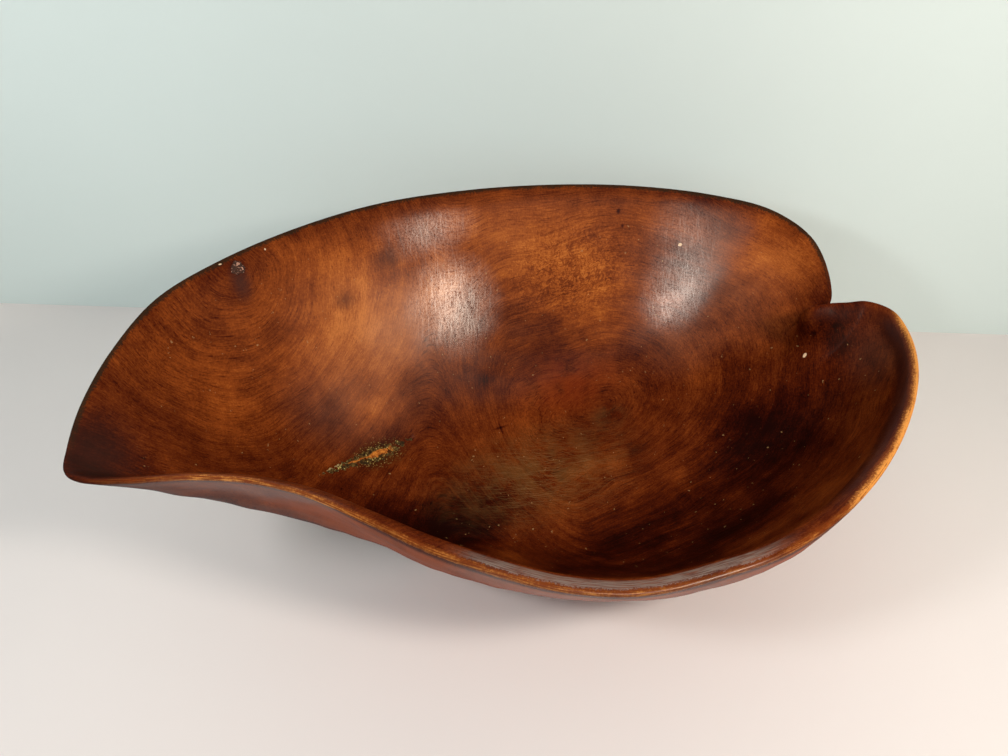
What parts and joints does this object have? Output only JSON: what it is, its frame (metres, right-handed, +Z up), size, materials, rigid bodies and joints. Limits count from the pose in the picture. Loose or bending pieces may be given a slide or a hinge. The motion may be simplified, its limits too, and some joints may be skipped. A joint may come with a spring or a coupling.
{
  "type": "leaf-shaped wooden bowl",
  "caption": "Deep leaf-shaped bowl carved from one block of wood, with a pointed tip, a cleft at the stalk end and one side higher than the other.",
  "frame": {"origin": "on the table, under the middle of the bowl's outline", "axes": "+X along the leaf from its pointed tip to its notched stalk end, +Y to the higher side, +Z up"},
  "size_m": [0.5443, 0.3317, 0.1858],
  "materials": {
    "carved_wood": "oiled and polished, orange-brown to dark red-brown",
    "bark": "raw, dull, pale grey-green to orange",
    "knot_wood": "polished with the wall around it, dark red"
  },
  "bodies": {
    "root": {"leaf_bowl": "carved_wood", "bark_inclusion": "bark", "rim_knot": "knot_wood"}
  },
  "joints": []
}
